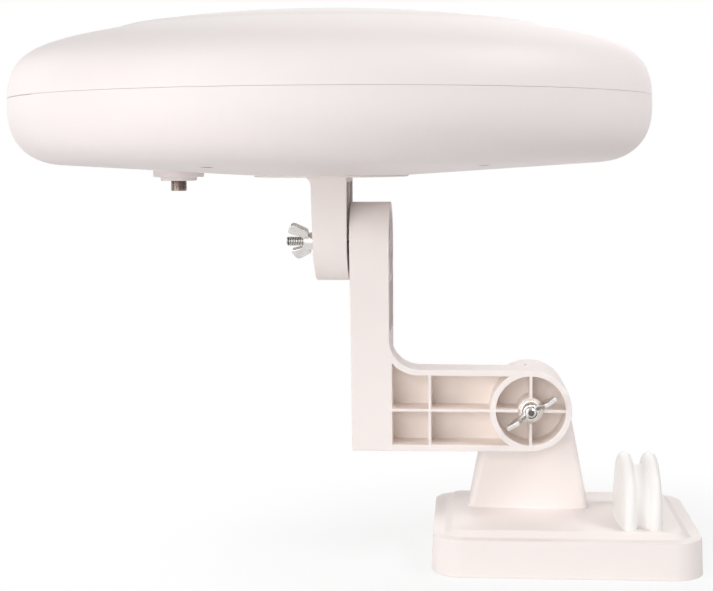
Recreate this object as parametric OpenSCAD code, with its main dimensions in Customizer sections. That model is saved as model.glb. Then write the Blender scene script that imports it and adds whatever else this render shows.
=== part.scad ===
// Flat dome antenna for outdoor television reception, on an L-shaped bracket with two clamped joints.
// The origin is the centre of the base's underside, +Z is up and +X runs towards the cable guide.

/* [Base] */
// Length of the base along X
base_l = 152; // [136:1:180]
// Depth of the base along Y
base_d = 120; // [105:1:150]
// Height of the outer wall, up to the ledge
base_wall_h = 21; // [18:0.5:30]
// How far the outer wall leans in between its foot and the ledge
base_draft = 0.8; // [0.2:0.1:2]
// Corner radius of the base
base_corner_r = 18; // [14:1:26]
// Wall thickness of the hollow base and upright
base_wall = 3; // [2:0.1:4]
// Width of the ledge around the raised top
ledge_w = 6.6; // [4:0.1:9]
// Height of the raised top above the ledge
tier_h = 3.4; // [2:0.1:6]
// Width of the sloping border of the raised top
tier_slope_w = 4.4; // [2:0.1:7]
// Distance of the fixing screws from the ends of the base
fixing_inset_x = 20; // [18:0.5:26]
// Distance of the fixing screws from the front and back of the base
fixing_inset_y = 18; // [16:0.5:24]
// Radius of the pilot hole for a fixing screw
fixing_hole_r = 2.1; // [1.5:0.1:3]
// Depth of the pilot hole for a fixing screw
fixing_hole_depth = 15; // [8:1:17]
// Wall around a fixing screw's pilot hole
fixing_wall = 3.4; // [2:0.1:5]

/* [Upright] */
// Distance of the lower pivot from the middle of the base, towards the dome
pivot_offset = 19.5; // [12:0.5:26]
// Height of the lower pivot above the underside
pivot_h = 87.5; // [78:0.5:110]
// Thickness of the upright along Y
upright_t = 28; // [24:0.5:34]
// Radius of the upright's round head
upright_head_r = 23; // [20:0.1:26]
// Width of the upright where it meets the base
upright_foot_w = 72; // [56:1:80]
// Rounding of the upright's edges
upright_round = 4; // [2:0.5:5]
// Outside radius of the tube around the lower bolt
pivot_tube_r = 9; // [7.5:0.1:11]

/* [Arm] */
// Depth of the arm along Y
arm_depth = 46; // [42:0.5:52]
// Thickness of the lying bar along Y
bar_t = 23; // [20:0.5:28]
// Thickness of the round boss behind the bar, beside the upright
pivot_boss_t = 4; // [2:0.1:6]
// Height of the lying bar at the lower pivot
bar_h = 47; // [44:0.2:52]
// How much the bar's upper and lower edges spread apart towards the post, each
bar_flare = 0.4; // [0:0.1:1]
// Thickness of the standing post along X, at its foot
post_t = 21.8; // [20:0.2:28]
// How far the post's outer face leans out between its foot and its top
post_lean = 1.3; // [0.2:0.1:2]
// Distance from the lower pivot to the inner face of the post
arm_reach = 81.2; // [72:0.2:100]
// Rise from the lower pivot to the upper pivot
arm_rise = 96.6; // [90:0.2:120]
// Radius of the fillet between the bar and the post
arm_fillet_r = 17; // [8:0.5:18]
// Thickness of the arm's outer walls
arm_wall = 3.6; // [2:0.1:4]
// Thickness of the floor of the arm's pockets
arm_floor = 2.6; // [2:0.1:4]
// Thickness of the ribs in the arm and the foot
rib_t = 1.7; // [1.2:0.1:2.6]
// Distance from the post's inner face to the first pocket in the bar
pocket_inset = 1.6; // [0.4:0.1:3]
// Distance from the post's inner face to the cross rib in the bar
bar_rib_x = 22.4; // [12:0.1:30]
// Radius of the round pocket around each pivot
ring_pocket_r = 20; // [18.5:0.1:21]
// Radius of the hub around each bolt
hub_r = 7.2; // [6.8:0.1:9]
// Depth of the lower hub's face below the front of the arm
hub_recess = 3.5; // [2.6:0.1:6]
// Gap between the arm and the upright
mate_gap = 0.3; // [0.2:0.05:0.5]

/* [Dome foot] */
// Gap between the foot and the arm's post
foot_gap = 1.3; // [0.8:0.1:2]
// Gap between the foot and the raised friction ring on the post
ring_gap = 0.3; // [0.2:0.05:0.5]
// Radius of the raised friction ring on the post
friction_ring_r = 9.5; // [8:0.1:12]
// Thickness of the foot at its round end
foot_t = 19.2; // [15:0.2:22]
// Extra thickness of the foot where it meets its flange
foot_taper = 1.5; // [0.6:0.1:4]
// Depth of the foot along Y
foot_depth = 46; // [40:0.2:50]
// Thickness of the foot's walls
foot_wall = 3; // [2:0.1:4]
// Radius of the blend between the foot and its flange
foot_blend_r = 4.5; // [2:0.5:6]
// Radius of the foot's round flange
flange_r = 45.2; // [42:0.1:52]
// Thickness of the foot's flange
flange_t = 3.6; // [3:0.1:5]
// How far the flange stands below the dome
flange_proud = 0.9; // [0.5:0.1:1.5]
// Distance from the upper pivot to the underside of the flange
foot_rise = 37.8; // [34:0.2:50]
// Distance from the dome's axis to the foot's face beside the arm
foot_offset = 10.7; // [8:0.1:13]
// Radius of the ring of screws that hold the foot
foot_screw_ring_r = 34; // [31:0.5:38]
// Length of a foot screw
foot_screw_l = 14; // [10:0.5:18]

/* [Dome] */
// Radius of the dome
dome_r = 184; // [176:1:200]
// Height of the dome's crown above the foot's flange
dome_h = 94; // [88:0.5:104]
// Height of the seam between the covers
seam_h = 44.9; // [42:0.1:50]
// Height of the dome's widest circle
widest_h = 38; // [34:0.5:40]
// Wall thickness of the covers
cover_wall = 2.6; // [2.2:0.1:3.2]
// Radius of the raised middle of the upper cover
plateau_r = 118; // [100:1:122]
// Fall of the raised middle from its centre to its edge
plateau_fall = 9.2; // [5:0.2:10]
// Width of the soft step around the raised middle
step_w = 12; // [8:0.5:16]
// Height of the soft step around the raised middle
step_h = 3.2; // [2:0.1:5]
// Width of the rounded lower edge of the dome
under_edge_w = 29; // [22:1:34]
// Height at which the rounded lower edge runs into the underside
under_edge_h = 7.8; // [6:0.1:10]
// Width of the open seam line between the covers
seam_gap = 0.3; // [0.2:0.05:0.8]
// Height of the lower cover's lip above the seam
lip_h = 3.5; // [2:0.1:5]
// Thickness of the lower cover's lip
lip_t = 1.2; // [1:0.05:1.4]
// Thickness of the seal between the covers
seal_t = 2; // [1.5:0.1:3]
// Width of the seal between the covers
seal_w = 2; // [1.5:0.1:2.4]
// Number of screws that hold the covers together
case_screws_n = 6; // [4:1:8]
// Radius of the ring of case screws
case_screw_ring_r = 140; // [136:0.5:145]
// Direction of the first case screw
case_screw_start = -111; // [-118:1:-105]
// Radius of the recess for a case screw
case_recess_r = 3.6; // [3.4:0.1:4.5]
// Depth of the recess for a case screw
case_recess_depth = 20; // [12:0.5:24]
// Length of a case screw under its head
case_screw_l = 30; // [26:0.5:34]

/* [Connector] */
// Distance of the aerial connector from the dome's axis
connector_x = 90.6; // [84:0.2:96]
// Outside radius of the connector's thread
connector_r = 4.76; // [4.7:0.01:4.8]
// Length of the connector below its boss
connector_proud = 6; // [5:0.1:12]
// Radius of the connector's boss
boss_r = 15; // [13:0.1:17]
// Radius of the boss's lower step
boss_step_r = 10.7; // [9:0.1:12]
// Height of the boss's wide step above the underside of the foot's flange
boss_rise = 0.2; // [-0.6:0.1:0.6]
// Height of the boss's lower step
boss_step_h = 2.2; // [1.5:0.1:4]
// Across flats of the connector's hexagonal body
connector_af = 12; // [11:0.1:13]
// Length of the connector's hexagonal body
connector_body_l = 6.5; // [4:0.5:8]

/* [Electronics] */
// Length of the amplifier board along X
board_l = 60; // [56:1:66]
// Width of the amplifier board along Y
board_w = 42; // [38:1:48]
// Thickness of the amplifier board
board_t = 1.6; // [1:0.1:2]
// Height of the board's underside above the flange
board_h = 18; // [17:0.5:20]
// Length of the shield can
shield_l = 34; // [28:1:36]
// Width of the shield can
shield_w = 24; // [18:1:24]
// Height of the shield can
shield_h = 7; // [5:0.5:8]
// Sheet thickness of the shield can and the dipole blades
sheet_t = 0.8; // [0.5:0.1:1]
// Height of the dipole blades above the flange
blade_h = 34; // [32:0.5:36]
// Distance of a dipole blade's outer end from the dome's axis
blade_end_r = 118; // [112:1:120]
// Width of a dipole blade at its outer end
blade_w = 34; // [24:1:40]
// Radius of the carrier under the blades
carrier_r = 28; // [26:1:32]
// Thickness of the carrier under the blades
carrier_t = 7; // [6:0.5:9]
// Radius of the low band loop
loop_r = 128; // [126.5:0.5:129]
// Radius of the rod that the loop is bent from
loop_rod_r = 2.4; // [2:0.1:2.6]
// Height of the low band loop above the flange
loop_h = 40; // [38:0.5:44]

/* [Fasteners] */
// Radius of the clamp bolts
bolt_r = 3; // [2.5:0.1:3.2]
// Across flats of a clamp bolt's head
bolt_af = 10; // [9.5:0.1:10.2]
// Height of a clamp bolt's head
bolt_head_h = 4; // [3:0.1:4.2]
// How far the lower bolt stands out of its wing nut's hub
lower_bolt_proud = 2.2; // [0.4:0.1:4]
// How far the upper bolt stands out of its wing nut's hub
upper_bolt_proud = 10.4; // [0.4:0.1:14]
// Thickness of the arm under the upper bolt's head
upper_seat_t = 10.4; // [6:0.1:12]
// Radius of a washer
washer_r = 6; // [5:0.1:6.4]
// Thickness of a washer
washer_t = 1.6; // [1:0.1:2]
// Radius of a wing nut's hub at its seat
nut_hub_r = 5.4; // [4.8:0.1:5.8]
// Height of a wing nut's hub
nut_hub_h = 5.8; // [5:0.1:8]
// Height of a wing nut to the tips of its wings
nut_h = 14.2; // [13:0.2:16]
// Distance of the wing tips from the bolt's axis
nut_span_r = 16.6; // [15:0.1:17.6]
// Thickness of a wing
wing_t = 2.7; // [2:0.1:3]
// Angle of the upper wing nut's wings from upright
upper_nut_turn = 129; // [0:1:180]
// Angle of the lower wing nut's wings from level
lower_nut_turn = 33; // [0:1:90]

/* [Cable guide] */
// Distance of the cable guide from the middle of the base
guide_x = 42.3; // [38:0.1:52]
// Distance of the cable guide in front of the base's middle line
guide_y = 14; // [6:0.5:20]
// Radius of the cable guide's half wheel
guide_r = 34.4; // [28:0.1:38]
// Height of the half wheel's centre above the base's top
guide_lift = 3.5; // [1:0.5:6]
// Thickness of the cable guide at its middle
guide_w = 26.6; // [22:0.1:32]
// Spacing of the two rims of the cable guide
guide_rim_gap = 14.2; // [12:0.1:18]
// Radius of each rim of the cable guide
guide_rim_r = 3.6; // [2.5:0.1:4]
// Depth of the groove between the rims
guide_groove = 7.4; // [4:0.1:9]

/* [Hidden] */

plastic_white = [0.93, 0.90, 0.885];
guide_white = [0.96, 0.95, 0.93];
zinc = [0.74, 0.75, 0.76];
nickel = [0.66, 0.63, 0.60];
board_green = [0.13, 0.36, 0.22];
seal_grey = [0.22, 0.22, 0.23];
ferrite = [0.17, 0.16, 0.16];
alloy = [0.78, 0.79, 0.80];

// Clearances that the fits share
run_clear = 0.06;
seat_clear = 0.1;
thread_clear = 0.04;
head_sink = 0.4;
spot_margin = 0.8;
flange_clear = 0.2;
wing_clear = 0.6;
overcut = 1;

$fn = 96;
round_fn = 192;
blend_steps = 10;
edge_steps = 14;

// Base and upright
base_top_z = base_wall_h + tier_h;
pivot_x = -pivot_offset;
arm_front_y = -arm_depth / 2;
bar_back_y = arm_front_y + bar_t;
upright_front_y = bar_back_y + pivot_boss_t + mate_gap;
upright_back_y = upright_front_y + upright_t;
head_depth = bolt_head_h + head_sink;
head_pocket_r = (bolt_af / 2 + seat_clear) / cos(30);
bolt_hole_r = bolt_r + run_clear;
fixing_boss_r = fixing_hole_r + fixing_wall;
fixing_x = base_l / 2 - fixing_inset_x;
fixing_y = base_d / 2 - fixing_inset_y;

// Arm
arm_in_x = pivot_x - arm_reach;
arm_out_x = arm_in_x - post_t;
bar_end = bar_half(arm_reach);
bar_top_z = pivot_h + bar_end;
bar_bottom_z = pivot_h - bar_end;
fillet_y = bar_half(arm_reach - arm_fillet_r) + arm_fillet_r;
upper_z = pivot_h + arm_rise;
post_top_z = upper_z + arm_depth / 2;
pivot_face_x = post_face_x(upper_z);
hub_face_y = arm_front_y + hub_recess;
ring_wall_r = bar_h / 2;
post_pocket_bottom_z = bar_top_z + arm_fillet_r + arm_wall;

// Dome foot and dome
floor_rim = 6;
seam_inset = 0.4;
shoulder_slope = 0.19;
shoulder_lead = 0.84;
shoulder_drop = 13.5;
under_lead = 0.59;
foot_in_x = pivot_face_x - foot_gap;
foot_end_x = foot_in_x - foot_t;
foot_top_x = foot_end_x - foot_taper;
dome_x = foot_in_x - foot_offset;
dome_z = upper_z + foot_rise;
foot_r = foot_depth / 2;
foot_lean = foot_taper / (foot_rise + foot_r);
spot_r = washer_r + spot_margin;
spot_x = foot_end_x - (foot_r - spot_r) * foot_lean;
floor_z = flange_t + cover_wall;
flange_pocket_r = flange_r + flange_clear;
floor_r = flange_r + floor_rim;
cone_end_r = dome_r - under_edge_w;
cone_slope = (under_edge_h - flange_proud) / (cone_end_r - flange_r);
seam_r = dome_r - seam_inset;
lip_out_r = seam_r - cover_wall + lip_t;
lip_in_r = lip_out_r - lip_t;
seal_out_r = lip_in_r - seat_clear;
seal_in_r = seal_out_r - seal_w;
seal_z = seam_h - seal_t / 2;

// Clamp hardware
upper_washer_x = spot_x - seat_clear;
upper_nut_x = upper_washer_x - washer_t;
upper_tip_x = upper_nut_x - nut_hub_h - upper_bolt_proud;
upper_seat_x = pivot_face_x + upper_seat_t;
lower_washer_y = hub_face_y - seat_clear;
lower_nut_y = lower_washer_y - washer_t;
lower_tip_y = lower_nut_y - nut_hub_h - lower_bolt_proud;
lower_seat_y = upright_back_y - head_depth;
ear_r = 2.3;
ear_fall = 4;
ear_w = 6.2;
ear_foot = 5.8;
ear_root = 0.4;
ear_clear = 0.2;
ear_throat = 2.1;
ear_out_a = -39;
ear_in_a = 154;
wing_root_h = hub_recess - washer_t - seat_clear + wing_clear;

// Small screws
foot_screw_r = 2;
case_screw_r = 1.75;
case_head_h = 2.4;
board_screw_r = 1.25;
board_screw_l = 7;
blade_screw_r = 1.5;
blade_screw_l = 6;
carrier_screw_r = 2;
carrier_screw_l = 16;
guide_screw_r = 1.75;
guide_screw_l = 12;
guide_screw_gap = 26;

// Inside the dome
boss_bottom = boss_rise - boss_step_h;
connector_tip = boss_bottom - connector_proud;
socket_pad = 1.2;
connector_seat = under_z(connector_x) + cover_wall + socket_pad;
connector_bore_r = 3.4;
thread_relief = 0.3;
connector_thread_l = connector_proud - thread_relief;
thread_depth = 0.26;
connector_neck_r = connector_r - thread_depth;
contact_r = 1.2;
seal_rod_r = 0.85;
seal_groove_h = 2;
board_hole_inset = 5;
board_hole_x = board_l / 2 - board_hole_inset;
board_hole_y = board_w / 2 - board_hole_inset;
shield_x = -connector_x - 8;
balun_x = -connector_x + 15;
balun_y = -9;
coax_inset = 8.4;
coax_x = -connector_x + board_l / 2 - coax_inset;
coax_r = 1.5;
coax_bend_r = 6;
coax_h = blade_h - carrier_t / 2;
carrier_hole_depth = 6;
pillar_r = 10;
post_r = 4;
post_sink = 1;
blade_in_r = 12;
blade_in_w = 14;
blade_in_screw_r = 20;
blade_screw_inset = 7;
blade_out_screw_r = blade_end_r - blade_screw_inset;
loop_saddle = 1;

function arc(c, r, from, to, n) = [
    for (i = [0 : n])
        let (a = from + (to - from) * i / n)
        c + r * [cos(a), sin(a)]
];

function bezier(p0, p1, p2, p3, n) = [
    for (i = [0 : n])
        let (t = i / n, s = 1 - t)
        s * s * s * p0 + 3 * s * s * t * p1 + 3 * s * t * t * p2 + t * t * t * p3
];

// Half height of the lying bar at a distance from the lower pivot
function bar_half(x) = bar_h / 2 + bar_flare * x / arm_reach;

// Place of the post's outer face at a height
function post_face_x(z) = arm_out_x - post_lean * (z - bar_bottom_z) / (post_top_z - bar_bottom_z);

// Height of the dome's underside at a distance from its axis
function under_z(r) = flange_proud + (r - flange_r) * cone_slope;

// Outline of the dome's top from the axis to its widest circle, moved inwards by a wall
function top_outline(w) =
    let (
        edge_z = dome_h - plateau_fall,
        low_r = plateau_r + step_w,
        low_z = edge_z - step_h,
        lead = shoulder_lead * (dome_r - low_r),
        ease = step_w / 3
    )
    concat(
        [for (i = [0 : 6]) let (k = i / 6) [plateau_r * k, dome_h - w - plateau_fall * k * k]],
        bezier([plateau_r, edge_z - w], [plateau_r + ease, edge_z - w - ease * shoulder_slope / 2],
            [low_r - ease, low_z - w + ease * shoulder_slope], [low_r, low_z - w], blend_steps),
        bezier([low_r, low_z - w], [low_r + lead, low_z - w - lead * shoulder_slope],
            [dome_r - w, low_z - w - shoulder_drop], [dome_r - w, widest_h], edge_steps)
    );

// Outline of the dome's underside from its widest circle to the flat middle
function under_outline(w) =
    let (
        lead = under_lead * under_edge_w
    )
    concat(
        bezier([dome_r - w, widest_h], [dome_r - w, widest_h / 2],
            [cone_end_r + lead, under_edge_h + w + lead * cone_slope],
            [cone_end_r, under_edge_h + w], edge_steps),
        [[floor_r, under_z(floor_r) + w]]
    );

module at_dome() {
    translate([dome_x, 0, dome_z]) children();
}

module at_lower_pivot(y) {
    translate([pivot_x, y, pivot_h]) rotate([90, 0, 0]) children();
}

module at_upper_pivot(x) {
    translate([x, 0, upper_z]) rotate([0, -90, 0]) children();
}

module at_case_screws() {
    for (i = [0 : case_screws_n - 1])
        rotate([0, 0, case_screw_start + 360 * i / case_screws_n])
            translate([case_screw_ring_r, 0, 0]) children();
}

module at_foot_screws() {
    for (i = [0 : 3])
        rotate([0, 0, 45 + 90 * i]) translate([foot_screw_ring_r, 0, 0]) children();
}

module at_board_holes() {
    for (sx = [-1, 1], sy = [-1, 1])
        translate([-connector_x + sx * board_hole_x, sy * board_hole_y, 0]) children();
}

module at_blades() {
    for (i = [0 : 3])
        rotate([0, 0, 45 + 90 * i]) children();
}

module at_fixings() {
    for (sx = [-1, 1], sy = [-1, 1])
        translate([sx * fixing_x, sy * fixing_y, 0]) children();
}

module at_guide_screws() {
    for (sy = [-1, 1])
        translate([guide_x, -guide_y + sy * guide_screw_gap / 2, 0]) children();
}

// Plate with round corners whose walls lean in by lean over its height
module leaning_plate(l, d, r, h, lean) {
    corner_x = l / 2 - r;
    corner_y = d / 2 - r;
    for (sx = [-1, 1], sy = [-1, 1])
        translate([sx * corner_x, sy * corner_y, 0]) cylinder(h = h, r1 = r, r2 = r - lean);
    rotate([90, 0, 0]) translate([0, 0, -corner_y]) linear_extrude(2 * corner_y)
        polygon([[-l / 2, 0], [l / 2, 0], [l / 2 - lean, h], [-l / 2 + lean, h]]);
    rotate([90, 0, 90]) translate([0, 0, -corner_x]) linear_extrude(2 * corner_x)
        polygon([[-d / 2, 0], [d / 2, 0], [d / 2 - lean, h], [-d / 2 + lean, h]]);
}

// Round-headed upright, grown inwards by inset and cut level at its foot
module upright_form(inset, foot_z) {
    head_r = upright_head_r - inset;
    edge_r = max(upright_round - inset, 0.8);
    depth = upright_t - 2 * inset;
    half_w = upright_foot_w / 2 - inset;
    hull() {
        at_lower_pivot(upright_back_y - inset)
            rotate_extrude($fn = 72) {
                square([head_r - edge_r, depth]);
                translate([0, edge_r]) square([head_r, depth - 2 * edge_r]);
                for (end = [edge_r, depth - edge_r])
                    translate([head_r - edge_r, end]) circle(edge_r, $fn = 24);
            }
        for (sx = [-1, 1], y = [upright_front_y + inset + edge_r, upright_back_y - inset - edge_r])
            translate([pivot_x + sx * (half_w - edge_r), y, foot_z]) cylinder(h = 0.5, r = edge_r, $fn = 24);
    }
}

module base() {
    top_l = base_l - 2 * (base_draft + ledge_w);
    top_d = base_d - 2 * (base_draft + ledge_w);
    top_r = base_corner_r - base_draft - ledge_w;
    inner_h = base_wall_h - base_wall;
    color(plastic_white)
    difference() {
        union() {
            difference() {
                union() {
                    leaning_plate(base_l, base_d, base_corner_r, base_wall_h, base_draft);
                    translate([0, 0, base_wall_h])
                        leaning_plate(top_l, top_d, top_r, tier_h, tier_slope_w);
                    upright_form(0, base_wall_h);
                }
                translate([0, 0, -overcut])
                    leaning_plate(base_l - 2 * base_wall, base_d - 2 * base_wall,
                        base_corner_r - base_wall, inner_h + overcut, base_draft);
                upright_form(base_wall, inner_h - overcut);
            }
            at_lower_pivot(upright_back_y - 0.5) cylinder(h = upright_t - 1, r = pivot_tube_r);
            at_fixings() cylinder(h = inner_h + overcut, r = fixing_boss_r);
        }
        at_lower_pivot(upright_back_y + overcut) cylinder(h = upright_t + 2 * overcut, r = bolt_hole_r);
        at_lower_pivot(upright_back_y + overcut)
            cylinder(h = head_depth + overcut, r = head_pocket_r, $fn = 6);
        at_fixings() translate([0, 0, -overcut]) cylinder(h = fixing_hole_depth + overcut, r = fixing_hole_r);
        at_guide_screws() translate([0, 0, inner_h - overcut])
            cylinder(h = base_wall + tier_h + 2 * overcut, r = guide_screw_r + seat_clear);
    }
}

// Hexagon-headed bolt that points along +Z from the seat of its head
module clamp_bolt(l) {
    translate([0, 0, -bolt_head_h]) cylinder(h = bolt_head_h, r = bolt_af / 2 / cos(30), $fn = 6);
    cylinder(h = l, r = bolt_r);
}

module clamp_washer() {
    difference() {
        cylinder(h = washer_t, r = washer_r);
        translate([0, 0, -overcut]) cylinder(h = washer_t + 2 * overcut, r = bolt_hole_r);
    }
}

// One wing in the plane of X and Z: a broad ear with two round corners
module wing_outline() {
    root_x = bolt_hole_r + ear_root;
    outer = [nut_span_r - ear_r, nut_h - ear_fall];
    inner = [nut_span_r - ear_w, nut_h - ear_r];
    top_a = atan2(inner.y - outer.y, inner.x - outer.x) - 90;
    translate(outer) circle(ear_r);
    translate(inner) circle(ear_r);
    polygon([[root_x, wing_root_h], [nut_span_r - ear_foot, wing_root_h],
        outer + ear_r * [cos(ear_out_a), sin(ear_out_a)],
        outer + ear_r * [cos(top_a), sin(top_a)], inner + ear_r * [cos(top_a), sin(top_a)],
        inner + ear_r * [cos(ear_in_a), sin(ear_in_a)],
        [2 * bolt_r + ear_clear, nut_hub_h + ear_throat], [root_x, nut_hub_h]]);
}

module wing_nut() {
    difference() {
        union() {
            cylinder(h = nut_hub_h, r1 = nut_hub_r, r2 = nut_hub_r - 0.9);
            for (side = [0, 180])
                rotate([90, 0, side]) translate([0, 0, -wing_t / 2]) linear_extrude(wing_t) wing_outline();
        }
        translate([0, 0, -overcut]) cylinder(h = nut_h + 2 * overcut, r = bolt_hole_r);
    }
}

module lower_bolt() {
    color(zinc) at_lower_pivot(lower_seat_y) clamp_bolt(lower_seat_y - lower_tip_y);
}

module lower_washer() {
    color(zinc) at_lower_pivot(lower_washer_y) clamp_washer();
}

module lower_wing_nut() {
    color(zinc) at_lower_pivot(lower_nut_y) rotate([0, 0, lower_nut_turn]) wing_nut();
}

// Section of the cable guide from its axis to its rims, with Y across the wheel
function guide_outline() =
    let (
        rim_x = guide_rim_gap / 2,
        rim_z = guide_r - guide_rim_r,
        groove_r = rim_x - guide_rim_r,
        groove_z = guide_r - guide_groove + groove_r,
        side_r = 0.55 * guide_r,
        bulge = 1,
        rim_out_a = 70,
        rim_in_a = 88,
        groove_a = 88,
        rim_steps = 10,
        groove_steps = 8
    )
    concat(
        [[0, -guide_w / 2], [side_r, -guide_w / 2 + bulge]],
        arc([rim_z, -rim_x], guide_rim_r, -rim_out_a, rim_in_a, rim_steps),
        arc([groove_z, 0], groove_r, 180 + groove_a, 180 - groove_a, groove_steps),
        arc([rim_z, rim_x], guide_rim_r, -rim_in_a, rim_out_a, rim_steps),
        [[side_r, guide_w / 2 - bulge], [0, guide_w / 2]]
    );

// Half wheel with two rounded rims and a groove between them, lying with its axis along X
module cable_guide() {
    color(guide_white)
    difference() {
        intersection() {
            translate([guide_x, -guide_y, base_top_z + guide_lift]) rotate([0, 90, 0])
                rotate_extrude($fn = round_fn) polygon(guide_outline());
            translate([guide_x - guide_w, -guide_y - 2 * guide_r, base_top_z])
                cube([2 * guide_w, 4 * guide_r, 2 * guide_r]);
        }
        at_guide_screws() translate([0, 0, base_top_z - overcut])
            cylinder(h = guide_screw_l - base_wall - tier_h + 2 * overcut, r = guide_screw_r + thread_clear);
    }
}

// Pan-headed screw that points along +Z from the seat of its head
module pan_screw(r, l, head_h) {
    translate([0, 0, -head_h]) cylinder(h = head_h, r1 = 1.7 * r, r2 = 1.9 * r, $fn = 48);
    cylinder(h = l, r = r, $fn = 48);
}

module guide_screws() {
    color(zinc) at_guide_screws()
        translate([0, 0, base_wall_h - base_wall]) pan_screw(guide_screw_r, guide_screw_l, 2.2);
}

// Hub and cross ribs that fill a round pocket, drawn in its own plane
module ring_web(r) {
    circle(hub_r);
    square([2 * r, rib_t], center = true);
    square([rib_t, 2 * r], center = true);
}

// Openings in the front of the lying bar, drawn from the lower pivot with X to the right and Y up
module bar_pockets() {
    left = -arm_reach + pocket_inset;
    left_y = bar_half(-left) - arm_wall;
    right_y = bar_half(0) - arm_wall;
    difference() {
        union() {
            polygon([[left, -left_y], [0, -right_y], [0, right_y], [left, left_y]]);
            difference() {
                translate([left, 0]) square([arm_fillet_r - pocket_inset, fillet_y]);
                translate([-arm_reach + arm_fillet_r, fillet_y]) circle(arm_fillet_r + arm_wall);
            }
        }
        circle(ring_wall_r);
        translate([-arm_reach + bar_rib_x, -bar_h]) square([rib_t, 2 * bar_h]);
        translate([-arm_reach, -rib_t / 2]) square([arm_reach, rib_t]);
    }
    difference() {
        circle(ring_pocket_r);
        ring_web(ring_pocket_r);
    }
}

// Openings in the inner side of the post, drawn from the upper pivot with X down the post
module post_pockets() {
    half_w = arm_depth / 2 - arm_wall;
    length = upper_z - post_pocket_bottom_z;
    difference() {
        union() {
            circle(ring_pocket_r);
            translate([0, -half_w]) square([length, 2 * half_w]);
        }
        difference() {
            circle(ring_pocket_r + arm_wall);
            circle(ring_pocket_r);
        }
        ring_web(ring_pocket_r);
        translate([0, -rib_t / 2]) square([length, rib_t]);
    }
}

// Standing post with a round top, whose outer face leans out
module post_form() {
    low_z = bar_bottom_z - overcut;
    high_z = post_top_z + overcut;
    intersection() {
        at_upper_pivot(arm_in_x) linear_extrude(post_t + post_lean + overcut) {
            circle(arm_depth / 2);
            translate([-upper_z + bar_bottom_z, -arm_depth / 2]) square([upper_z - bar_bottom_z, arm_depth]);
        }
        translate([0, arm_depth, 0]) rotate([90, 0, 0]) linear_extrude(2 * arm_depth)
            polygon([[arm_in_x + overcut, low_z], [arm_in_x + overcut, high_z],
                [post_face_x(high_z), high_z], [post_face_x(low_z), low_z]]);
    }
}

module arm() {
    pocket_depth = bar_t - arm_floor;
    post_depth = post_t - arm_floor;
    core_top_z = bar_top_z + arm_fillet_r;
    color(plastic_white)
    difference() {
        union() {
            at_lower_pivot(bar_back_y) linear_extrude(bar_t) {
                circle(bar_h / 2);
                polygon([[0, -bar_half(0)], [0, bar_half(0)], [-arm_reach, bar_end],
                    [-arm_reach - overcut, bar_end], [-arm_reach - overcut, -bar_end],
                    [-arm_reach, -bar_end]]);
                difference() {
                    translate([-arm_reach - overcut, 0]) square([arm_fillet_r + overcut, fillet_y]);
                    translate([-arm_reach + arm_fillet_r, fillet_y]) circle(arm_fillet_r);
                }
            }
            at_lower_pivot(bar_back_y + pivot_boss_t) cylinder(h = pivot_boss_t + overcut, r = ring_wall_r);
            post_form();
            at_upper_pivot(pivot_face_x + overcut)
                cylinder(h = overcut + foot_gap - ring_gap, r = friction_ring_r);
        }
        at_lower_pivot(arm_front_y + pocket_depth) linear_extrude(pocket_depth + overcut) bar_pockets();
        at_lower_pivot(hub_face_y) cylinder(h = hub_recess + overcut, r = hub_r);
        at_lower_pivot(bar_back_y + pivot_boss_t + overcut)
            cylinder(h = bar_t + pivot_boss_t + 2 * overcut, r = bolt_hole_r);
        at_upper_pivot(arm_in_x + overcut) linear_extrude(post_depth + overcut)
            mirror([1, 0]) post_pockets();
        at_upper_pivot(arm_in_x + overcut)
            cylinder(h = arm_in_x - upper_seat_x + overcut, r = head_pocket_r, $fn = 6);
        at_upper_pivot(arm_in_x + overcut)
            cylinder(h = arm_in_x - foot_in_x + 2 * overcut, r = bolt_hole_r);
        translate([arm_out_x + arm_wall, arm_front_y + arm_wall, bar_bottom_z + arm_wall])
            cube([post_t - 2 * arm_wall, arm_depth, core_top_z - bar_bottom_z - 2 * arm_wall]);
    }
}

module upper_bolt() {
    color(zinc) at_upper_pivot(upper_seat_x) clamp_bolt(upper_seat_x - upper_tip_x);
}

module upper_washer() {
    color(zinc) at_upper_pivot(upper_washer_x) clamp_washer();
}

module upper_wing_nut() {
    color(zinc) at_upper_pivot(upper_nut_x) rotate([0, 0, upper_nut_turn]) wing_nut();
}

// Side view of the foot, drawn from the dome's axis at the flange's underside
module foot_side() {
    top_x = foot_top_x - dome_x;
    end_x = foot_end_x - dome_x;
    in_x = foot_in_x - dome_x;
    low_z = -foot_rise - foot_r - overcut;
    polygon([[in_x, 1], [in_x, low_z], [end_x, low_z], [end_x, -foot_rise - foot_r], [top_x, 0], [top_x, 1]]);
    difference() {
        translate([top_x - foot_blend_r, -foot_blend_r]) square([foot_blend_r + 1, foot_blend_r + 1]);
        translate([top_x - foot_blend_r, -foot_blend_r]) circle(foot_blend_r);
        translate([top_x - 3 * foot_blend_r, -3 * foot_blend_r])
            square([2 * foot_blend_r, 3 * foot_blend_r - foot_blend_r]);
    }
}

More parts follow.
